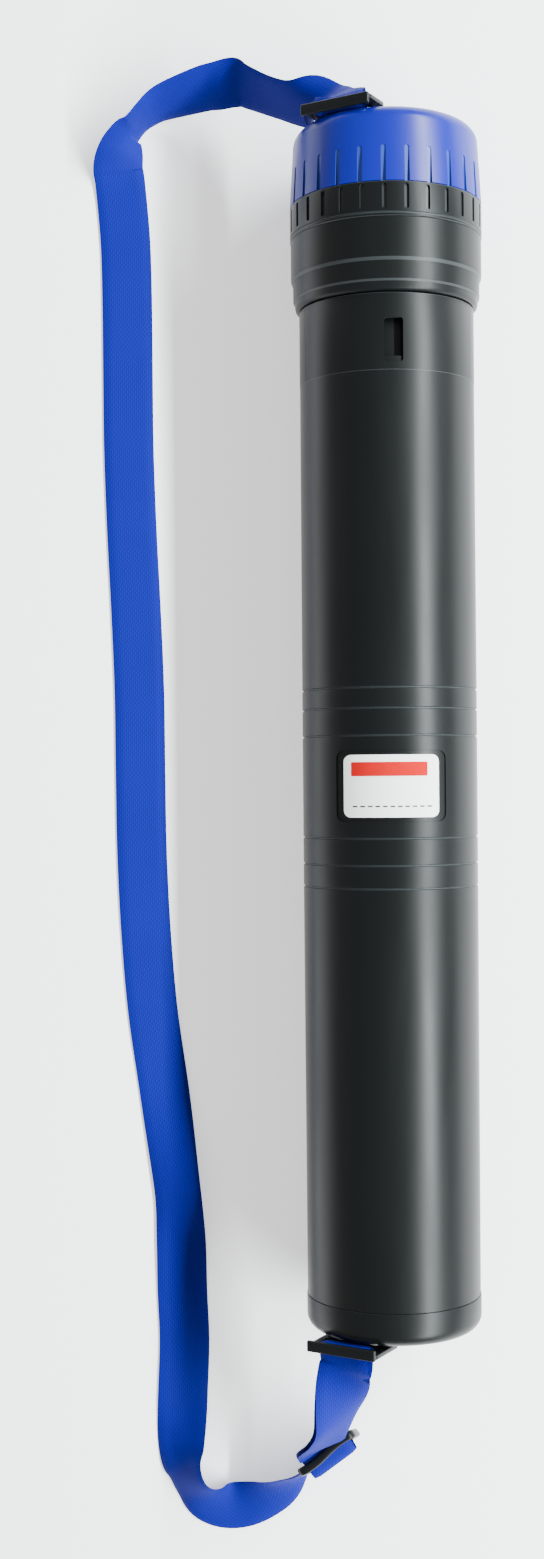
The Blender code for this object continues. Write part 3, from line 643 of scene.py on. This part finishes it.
def make_label():
    floor_r = TUBE_R - RECESS_DEPTH
    card = curved_patch("label_card_print", rounded_rectangle(LABEL_CENTRE, LABEL_SIZE, LABEL_CORNER),
                        floor_r + 0.00002, floor_r + 0.00035, PAPER)
    show(card, "outer_tube", "white_label", "label_card")
    ink = (floor_r + 0.00036, floor_r + 0.00040)
    centre_x, centre_y = LABEL_CENTRE
    header = rounded_rectangle((centre_x + HEADER_PLACE[0], centre_y + HEADER_PLACE[1]), HEADER_SIZE, 0.0006)
    bar = curved_patch("label_header_bar", header, *ink, RED_INK)
    show(bar, "outer_tube", "white_label")
    dashes = []
    for i in range(DASHES):
        place = (centre_x + DASH_PLACE[0] + DASH_PITCH * i, centre_y + DASH_PLACE[1])
        dash = rounded_rectangle(place, DASH_SIZE, 0.0001, 1)
        dashes.append(curved_patch(f"label_dash_{i}", dash, *ink, GREY_INK))
    join(dashes, "label_writing_line")
    show(dashes[0], "outer_tube", "white_label")


def join(pieces, name):
    """Join pieces into the first one."""
    shape = bmesh.new()
    for piece in pieces:
        shape.from_mesh(piece.data)
    first = pieces[0]
    shape.to_mesh(first.data)
    shape.free()
    for piece in pieces[1:]:
        bpy.data.objects.remove(piece, do_unlink=True)
    first.name = name


def make_base_cap():
    edge = []
    for i in range(9):
        angle = math.radians(-90.0 * i / 8)
        edge.append((TUBE_R - BASE_FILLET + BASE_FILLET * math.cos(angle),
                     BASE_FILLET + BASE_FILLET * math.sin(angle)))
    shoulder = TUBE_LOW.y - GAP
    inside = [(0.0, BASE_FLOOR), (BASE_WALL_R - 0.004, BASE_FLOOR), (BASE_WALL_R, 0.007)]
    outside = soften([(BASE_WALL_R, BASE_PLUG_TOP), (BASE_PLUG_R, BASE_PLUG_TOP), (BASE_PLUG_R, shoulder),
                      (TUBE_R, shoulder), (TUBE_R, BASE_FILLET)], closed=False)
    rings = [(BASE_RING_R + 0.0008, 0.0), (BASE_RING_R, 0.0005), (BASE_RING_R - 0.0008, 0.0)]
    base = lathe("base_end_cap", inside + outside + edge[1:] + rings + [(0.0, 0.0)], BLACK, closed=False)
    # Painted highlight along the edge where the base cap meets the tube.
    paint_edge_highlights(base, (TUBE_LOW.y,), MARKED_R, BLACK_EDGE_HIGHLIGHT)
    show(base, "outer_tube", "black_plastic", "base_cap")


# ---------------------------------------------------------------- sleeve, inner tube and head

def make_lock_sleeve():
    top, low = SLEEVE_HIGH.y, SLEEVE_LOW.y
    counter = SPIGOT_R + 0.0004
    profile = soften([(BORE_R, top), (TUBE_R, top), (TUBE_R, low), (counter, low),
                      (counter, low + SLEEVE_COUNTERBORE), (BORE_R, low + SLEEVE_COUNTERBORE)])
    sleeve = lathe("lock_sleeve_shell", profile, BLACK)
    shape = bmesh.new()
    sections = []
    for i in range(9):
        degrees = TOOTH_CLOCK + TOOTH_SWEEP * i / 8
        sections.append([around(TOOTH_TIP_R, degrees, 0.5518), around(TOOTH_ROOT_R, degrees, 0.5514),
                         around(TOOTH_ROOT_R, degrees, 0.5552), around(TOOTH_TIP_R, degrees, 0.5548)])
    loft(shape, sections)
    cut(sleeve, finish_mesh("lock_tooth_tool", shape), "UNION")
    window = rounded_rectangle(WINDOW_CENTRE, WINDOW_SIZE, 0.0016)
    tool = upright_prism("window_tool", window, 0.03, 0.07)
    # The window's walls take the paler black: a painted highlight round the window.
    tool.data.materials.append(BLACK_EDGE_HIGHLIGHT)
    cut(sleeve, tool)
    shape = bmesh.new()
    for degrees in SLEEVE_SEAMS:
        turn = Matrix.Rotation(math.radians(degrees), 4, "Y")
        corners = ((-0.0005, TUBE_R + 0.001), (0.0, TUBE_R - 0.0003), (0.0005, TUBE_R + 0.001))
        loft(shape, [[turn @ Vector((x, low + 0.001, z)) for x, z in corners],
                     [turn @ Vector((x, top - 0.001, z)) for x, z in corners]])
    cut(sleeve, finish_mesh("seam_tool", shape))
    # Painted highlights along the sleeve's two ends.
    paint_edge_highlights(sleeve, (low, top), MARKED_R, BLACK_EDGE_HIGHLIGHT)
    show(sleeve, "lock_sleeve", "black_plastic", "lock_sleeve")


def make_inner_tube():
    profile = soften([(INNER_BORE_R, INNER_HIGH.y), (INNER_R, INNER_HIGH.y), (INNER_R, INNER_LOW.y),
                      (INNER_BORE_R, INNER_LOW.y)])
    tube = lathe("inner_tube_shell", profile, BLACK)
    shape = bmesh.new()
    for i in range(RACK_TEETH):
        middle = RACK_START + RACK_PITCH * i
        sections = []
        for j in range(7):
            degrees = RACK_CLOCK + RACK_SWEEP * j / 6
            sections.append([around(RACK_ROOT_R, degrees, middle - 0.0020),
                             around(RACK_TIP_R, degrees, middle - 0.0014),
                             around(RACK_TIP_R, degrees, middle + 0.0014),
                             around(RACK_ROOT_R, degrees, middle + 0.0020)])
        loft(shape, sections)
    cut(tube, finish_mesh("rack_tool", shape), "UNION")
    show(tube, "inner_tube", "black_plastic", "inner_tube")


def make_head_collar():
    low, ring_low = COLLAR_LOW.y, RING_LOW.y - GAP
    neck = soften([(INNER_BORE_R, COLLAR_HIGH.y), (NECK_R, COLLAR_HIGH.y), (NECK_R, ring_low)], 0.0006, False)
    body = [(COLLAR_STEPS[0][0], ring_low), *COLLAR_STEPS]
    body += [(COLLAR_STEPS[-1][0], low + 0.0026), (0.0519, low + 0.0012),
             (0.0510, low + 0.0003), (0.0500, low)]
    seat_r, seat_top = INNER_R + GAP, INNER_HIGH.y + GAP
    bore = [(seat_r, low), (seat_r, seat_top), (INNER_BORE_R, seat_top)]
    collar = lathe("head_collar_shell", neck + body + bore, BLACK)
    cut(collar, thread_ribs("neck_ribs", NECK_R - RIB_ROOT, NECK_RIB_R, *NECK_RIBS), "UNION")
    # Painted highlights along two steps of the collar.
    paint_edge_highlights(collar, COLLAR_LINES, 0.0520, BLACK_EDGE_HIGHLIGHT, 0.0006)
    show(collar, "inner_tube", "black_plastic", "head_collar")


def make_grip_ring():
    low, high = RING_LOW.y, RING_HIGH.y
    lip = 0.0012
    profile = soften([(0.0493, high), (RING_R, high), (RING_R, low + lip * 2.2)], closed=False)
    profile += [(RING_R - 0.0005, low + lip * 1.9), (RING_R - 0.0005, low + lip * 1.4),
                (RING_R, low + lip * 1.1), (RING_R, low + 0.0004), (RING_R - 0.0004, low), (0.0493, low)]
    ring = lathe("grip_ring_shell", profile, BLACK)
    slots = slot_tools(RING_SLOTS, -4.0, RING_R, 0.0014, SLOT_WIDTH, low + 0.0044, high - 0.0012)
    # The slots' walls take the paler black: a painted highlight round each slot.
    slots.data.materials.append(BLACK_EDGE_HIGHLIGHT)
    cut(ring, slots)
    # Painted highlights along the ring's lip and its two ends.
    paint_edge_highlights(ring, (low + lip * 1.65, low, high), RING_R - 0.0012, BLACK_EDGE_HIGHLIGHT, 0.0005)
    show(ring, "inner_tube", "black_plastic", "grip_ring")


def make_cap():
    flat_r = CAP_TOP_R - CAP_FILLET
    edge = []
    for i in range(13):
        angle = math.radians(90.0 - 90.0 * i / 12)
        edge.append((flat_r + CAP_FILLET * math.cos(angle),
                     CAP_TOP - CAP_FILLET + CAP_FILLET * math.sin(angle)))
    roof = CAP_TOP - CAP_ROOF
    skirt = soften([(CAP_TOP_R, CAP_TOP - CAP_FILLET), (RING_R, CAP_START), (CAP_BORE_R, CAP_START),
                    (CAP_BORE_R, roof - 0.0065)], closed=False)
    inside = [(flat_r + 0.004, roof), (PIN_HOLE_R, roof)]
    cap = lathe("screw_cap", [(PIN_HOLE_R, CAP_TOP)] + edge + skirt[1:] + inside, BLUE)
    cut(cap, thread_ribs("cap_ribs", CAP_BORE_R + RIB_ROOT, CAP_RIB_R, *CAP_RIBS), "UNION")
    slots = slot_tools(CAP_SLOTS, -4.5, RING_R, 0.0016, SLOT_WIDTH, CAP_START - 0.002, CAP_START + 0.0200)
    # The slots' walls take the paler blue: a painted highlight round each slot.
    slots.data.materials.append(BLUE_EDGE_HIGHLIGHT)
    cut(cap, slots)
    show(cap, "cap", "blue_plastic", "cap")


# ---------------------------------------------------------------- strap loops and slider

def plate(name, outlines, thickness, place, material, bevel=0.0006):
    """A flat plate with round edges. outlines[0] is its outside, and the others are holes."""
    curve = bpy.data.curves.new(name, "CURVE")
    curve.dimensions = "2D"
    curve.fill_mode = "BOTH"
    curve.extrude = thickness / 2 - bevel
    curve.bevel_depth = bevel
    curve.bevel_resolution = 2
    curve.offset = -bevel
    for outline in outlines:
        spline = curve.splines.new("POLY")
        spline.points.add(len(outline) - 1)
        for point, (x, y) in zip(spline.points, outline):
            point.co = (x, y, 0.0, 1.0)
        spline.use_cyclic_u = True
    holder = bpy.data.objects.new(name + "_curve", curve)
    bpy.context.scene.collection.objects.link(holder)
    bpy.context.view_layer.update()
    mesh = bpy.data.meshes.new_from_object(holder.evaluated_get(bpy.context.evaluated_depsgraph_get()))
    bpy.data.objects.remove(holder, do_unlink=True)
    shape = bmesh.new()
    shape.from_mesh(mesh)
    bmesh.ops.remove_doubles(shape, verts=shape.verts, dist=0.00001)
    bmesh.ops.transform(shape, matrix=place, verts=shape.verts)
    return finish_mesh(name, shape, material)


def loop_place(bar, ahead):
    """Frame of a loop: X along its bar, Y outwards, Z along the tube away from its end face."""
    place = Matrix((BAR_ALONG * ahead, BAR_OUT, Vector((0.0, ahead, 0.0)))).transposed().to_4x4()
    place.translation = bar
    return place


def loop_outlines(low):
    """A loop's outside from a low edge up to its guard bar, the slot, and the gap under the guard."""
    high = GUARD[1]
    return [rounded_rectangle((0.0, (low + high) / 2), (LOOP_WIDTH, high - low), 0.0030),
            rounded_rectangle((0.0, -BAR_HALF - 0.00275), (LOOP_SLOT, 0.0055), 0.0012),
            rounded_rectangle((0.0, (BAR_HALF + GUARD[0]) / 2), (LOOP_SLOT, GUARD[0] - BAR_HALF), 0.0010)]


def make_hood(place):
    """The guard bar's lip, which covers the webbing round the loop's bar."""
    low, high = GUARD
    outline = rounded_rectangle((0.0, (low + high) / 2 + 0.0002), (HOOD_WIDTH, high - low), 0.0011)
    return plate("hood", [outline], HOOD_DEPTH, place @ Matrix.Translation((0.0, 0.0, -0.0008)), BLACK)


def make_base_loop():
    place = loop_place(BASE_BAR, -1.0)
    loop = plate("base_strap_loop", loop_outlines(-0.022), LOOP_THICKNESS, place, BLACK)
    foot_place = place @ Matrix.Translation((0.0, 0.0, -LOOP_THICKNESS / 2 - LOOP_GAP / 2 + 0.0002))
    foot_outline = rounded_rectangle((0.0, FOOT_PLACE), FOOT_SIZE, 0.003)
    foot = plate("foot", [foot_outline], LOOP_GAP, foot_place, BLACK)
    join([loop, foot, make_hood(place)], "base_strap_loop")
    show(loop, "outer_tube", "black_plastic", "base_loop")
    for side, name in ((1.0, "base_rivet_left"), (-1.0, "base_rivet_right")):
        at = place @ Vector((side * RIVET_SIDE, FOOT_PLACE, LOOP_THICKNESS / 2))
        rivet = lathe(name + "_head", RIVET_DOME, STEEL, closed=False, segments=32)
        rivet.data.transform(Matrix.Translation(at))
        show(rivet, "outer_tube", "zinc_steel", name)


def make_cap_loop():
    place = loop_place(CAP_BAR, 1.0)
    centre = place.inverted() @ Vector((0.0, CAP_BAR.y, 0.0))
    head = plate("cap_strap_loop", loop_outlines(-0.0125), LOOP_THICKNESS, place, BLACK)
    way = (centre - ARM_START).normalized()
    side = Vector((-way.y, way.x, 0.0))
    outline = []
    for i in range(13):
        angle = math.radians(-90.0 + 180.0 * i / 12)
        end = centre + way * ARM_END_R * math.cos(angle) + side * ARM_END_R * math.sin(angle)
        outline.append(end.to_2d())
    outline += [(ARM_START + side * ARM_HALF).to_2d(), (ARM_START - side * ARM_HALF).to_2d()]
    arm = plate("arm", [outline], LOOP_THICKNESS, place, BLACK)
    cut(head, arm, "UNION")
    join([head, make_hood(place)], "cap_strap_loop")
    show(head, "cap_swivel", "black_plastic", "cap_loop")
    high = CAP_BAR.y + LOOP_THICKNESS / 2
    dome = [(0.0, high + 0.0018), (0.0025, high + 0.0017), (0.0046, high + 0.0010), (0.0055, high)]
    shank = [(0.0030, high), (0.0030, CAP_TOP - 0.0029)]
    foot = [(0.0050, CAP_TOP - 0.0031), (0.0050, CAP_TOP - 0.0041), (0.0, CAP_TOP - 0.0043)]
    pin = lathe("swivel_pin_head", dome + shank + foot, STEEL, closed=False, segments=48)
    show(pin, "cap_swivel", "zinc_steel", "swivel_pin")


def make_slider():
    place = Matrix((SLIDER_ACROSS, SLIDER_DOWN, SLIDER_ACROSS.cross(SLIDER_DOWN))).transposed().to_4x4()
    outside = rounded_rectangle((0.0, 0.0), SLIDER_SIZE, 0.0045)
    holes = [rounded_rectangle((0.0, side * SLIDER_SLOT_PLACE), SLIDER_SLOT, 0.0012) for side in (-1.0, 1.0)]
    slider = plate("strap_slider", [outside] + holes, SLIDER_THICKNESS, Matrix.Identity(4), BLACK,
                   SLIDER_EDGE)
    shape = bmesh.new()
    shape.from_mesh(slider.data)
    for i in range(-9, 10):
        bmesh.ops.bisect_plane(shape, geom=shape.verts[:] + shape.edges[:] + shape.faces[:],
                               plane_co=(i * 0.002, 0.0, 0.0), plane_no=(1.0, 0.0, 0.0))
    for vertex in shape.verts:
        vertex.co.z += SLIDER_WAVE * math.sin(math.pi * vertex.co.x / (SLIDER_SIZE[0] / 2))
    place.translation = SLIDER_CENTRE
    bmesh.ops.transform(shape, matrix=place, verts=shape.verts)
    shape.to_mesh(slider.data)
    shape.free()
    show(slider, "outer_tube", "black_plastic", "slider")


# ---------------------------------------------------------------- strap

def smooth_points(points, steps):
    """Points on a Catmull-Rom curve through the given ones."""
    result = []
    for i in range(len(points) - 1):
        a, b = points[max(i - 1, 0)], points[i]
        c, d = points[i + 1], points[min(i + 2, len(points) - 1)]
        for step in range(steps):
            t = step / steps
            result.append(0.5 * (2 * b + (c - a) * t + (2 * a - 5 * b + 4 * c - d) * t ** 2
                                 + (3 * b - a - 3 * c + d) * t ** 3))
    result.append(points[-1].copy())
    return result


def trace(route, steps=8):
    """Stations along a smooth route: (centre, way across, way out of the face, distance run)."""
    centres = smooth_points([Vector(centre) for centre, way in route], steps)
    ways = smooth_points([Vector(way).normalized() for centre, way in route], steps)
    stations = []
    run = 0.0
    for i, centre in enumerate(centres):
        if i:
            run += (centre - centres[i - 1]).length
        along = (centres[min(i + 1, len(centres) - 1)] - centres[max(i - 1, 0)]).normalized()
        across = (ways[i] - along * ways[i].dot(along)).normalized()
        stations.append((centre, across, along.cross(across), run))
    return stations


def ribbon(name, stations, columns=10):
    """A woven band through the stations, with rounded selvedges and a UV map in metres."""
    profile = []
    for i in range(columns + 1):
        share = -1.0 + 2.0 * i / columns
        profile.append((share, math.sqrt(max(0.0, 1.0 - abs(share) ** 10))))
    ring = profile + [(share, -thick) for share, thick in reversed(profile[1:-1])]
    shape = bmesh.new()
    layer = shape.loops.layers.uv.new("band")
    rows = []
    for centre, across, out, run in stations:
        row = []
        for share, thick in ring:
            place = centre + across * share * BAND_WIDTH / 2 + out * thick * BAND_THICKNESS / 2
            row.append((shape.verts.new(place), share * BAND_WIDTH / 2, run))
        rows.append(row)
    count = len(ring)
    for row, following in zip(rows, rows[1:]):
        for i in range(count):
            j = (i + 1) % count
            corners = (row[i], row[j], following[j], following[i])
            face = shape.faces.new([vertex for vertex, u, v in corners])
            for loop, (vertex, u, v) in zip(face.loops, corners):
                loop[layer].uv = (u, v)
    shape.faces.new([vertex for vertex, u, v in reversed(rows[0])])
    shape.faces.new([vertex for vertex, u, v in rows[-1]])
    return finish_mesh(name, shape, WEBBING, 50.0)


def slider_point(down, out):
    return SLIDER_CENTRE + SLIDER_DOWN * down + SLIDER_OUT * out


def main_route():
    """From the top corner along the floor, through the slider, round the base's bar and back."""
    back = tuple(-SLIDER_ACROSS)
    route = list(FLOOR_RUN)
    for down, out in SLIDER_PASS:
        route.append((slider_point(down, out), back))
    rise = []
    outs = []
    for i, (centre, roll) in enumerate(RISE):
        before = Vector(RISE[max(i - 1, 0)][0])
        after = Vector(RISE[min(i + 1, len(RISE) - 1)][0])
        along = (after - before).normalized()
        level = Vector((along.y, -along.x, 0.0)).normalized()
        way = level * math.cos(math.radians(roll)) + along.cross(level) * math.sin(math.radians(roll))
        rise.append((Vector(centre), way))
        outs.append(along.cross(way))
    sign = 1.0 if outs[-1].dot(BAR_OUT) > 0 else -1.0
    for (centre, way), out in zip(rise, outs):
        route.append((centre + out * sign * LAYER, -way))
    for out, far in BASE_WRAP:
        route.append((BASE_BAR + BAR_OUT * out + Vector((0.0, -far, 0.0)), -BAR_ALONG))
    for (centre, way), out in zip(reversed(rise), reversed(outs)):
        route.append((centre - out * sign * LAYER, -way))
    for down, out in SLIDER_END:
        route.append((slider_point(down, out), back))
    return route


def cap_end_route():
    """From the sewn end behind the cap's loop, round its bar, and on to the top run."""
    route = [(Vector((-0.0290, 0.6925, 0.0245)), (-0.82, -0.10, -0.50)),
             (Vector((-0.0262, 0.6915, 0.0312)), -BAR_ALONG)]
    for out, far in CAP_WRAP:
        route.append((CAP_BAR + BAR_OUT * out + Vector((0.0, far, 0.0)), -BAR_ALONG))
    route.append((Vector((-0.0290, 0.6940, 0.0330)), (-0.86, -0.10, -0.50)))
    return route


def make_strap():
    start = cap_end_route() + list(TOP_RUN)
    steps = 8
    stations = trace(start + [CORNER] + main_route(), steps)
    seam = len(start) * steps
    top = ribbon("strap_top_band", stations[:seam + 1])
    band = ribbon("strap_band", stations[seam:])
    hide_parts("strap_main", "strap_lower", "strap_base_loop")
    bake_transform(band)
    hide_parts("strap_upper", "strap_cap_loop")
    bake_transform(top)


# ---------------------------------------------------------------- stage

def make_stage():
    bpy.ops.mesh.primitive_plane_add(size=FLOOR_SIZE, location=(0.0, 0.3, FLOOR_Z))
    floor = bpy.context.object
    floor.name = "floor"
    material, nodes, links, shader = new_material("pale_floor")
    links.new(tint(nodes, links, noise(nodes, links, 3.0), (0.93, 0.93, 0.93), (0.95, 0.95, 0.95)),
              shader.inputs["Base Color"])
    shader.inputs["Roughness"].default_value = 0.9
    shader.inputs["Specular IOR Level"].default_value = 0.1
    shader.inputs["Emission Color"].default_value = (1.0, 1.0, 1.0, 1.0)
    shader.inputs["Emission Strength"].default_value = FLOOR_GLOW
    floor.data.materials.append(material)


def area_light(name, place, target, size, power, colour):
    """A rectangular light that faces a target, with its long side along the tube."""
    data = bpy.data.lights.new(name, "AREA")
    data.shape = "RECTANGLE"
    data.size, data.size_y = size
    data.energy = power
    data.color = colour
    light = bpy.data.objects.new(name, data)
    bpy.context.scene.collection.objects.link(light)
    toward = Vector(target) - Vector(place)
    side = Vector((0.0, 1.0, 0.0))
    normal = -toward.normalized()
    across = side.cross(normal).normalized()
    turn = Matrix((across, normal.cross(across), normal)).transposed().to_4x4()
    light.matrix_world = Matrix.Translation(place) @ turn


def make_lights():
    world = bpy.data.worlds.new("studio")
    world.use_nodes = True
    background = world.node_tree.nodes["Background"]
    background.inputs["Color"].default_value = (1.0, 1.0, 1.0, 1.0)
    background.inputs["Strength"].default_value = WORLD_STRENGTH
    bpy.context.scene.world = world
    # The long strip that draws the bright streak along the tube.
    area_light("strip", STRIP_PLACE, STRIP_TARGET, STRIP_SIZE, STRIP_POWER, STRIP_COLOUR)


def make_camera():
    data = bpy.data.cameras.new("camera")
    data.lens = CAMERA_LENS
    data.clip_start = 0.01
    camera = bpy.data.objects.new("camera", data)
    bpy.context.scene.collection.objects.link(camera)
    camera.location = CAMERA_PLACE
    camera.rotation_euler = (0.0, 0.0, CAMERA_ROLL)
    bpy.context.scene.camera = camera


make_camera()
make_strap()
make_outer_tube()
make_label()
make_base_cap()
make_lock_sleeve()
make_inner_tube()
make_head_collar()
make_grip_ring()
make_cap()
make_base_loop()
make_cap_loop()
make_slider()
for node, material in (("stop_ring", GREY), ("swivel_washer", GREY), ("cap_seal", RUBBER)):
    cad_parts[node].data.materials.clear()
    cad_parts[node].data.materials.append(material)
make_stage()
make_lights()

bpy.context.view_layer.update()
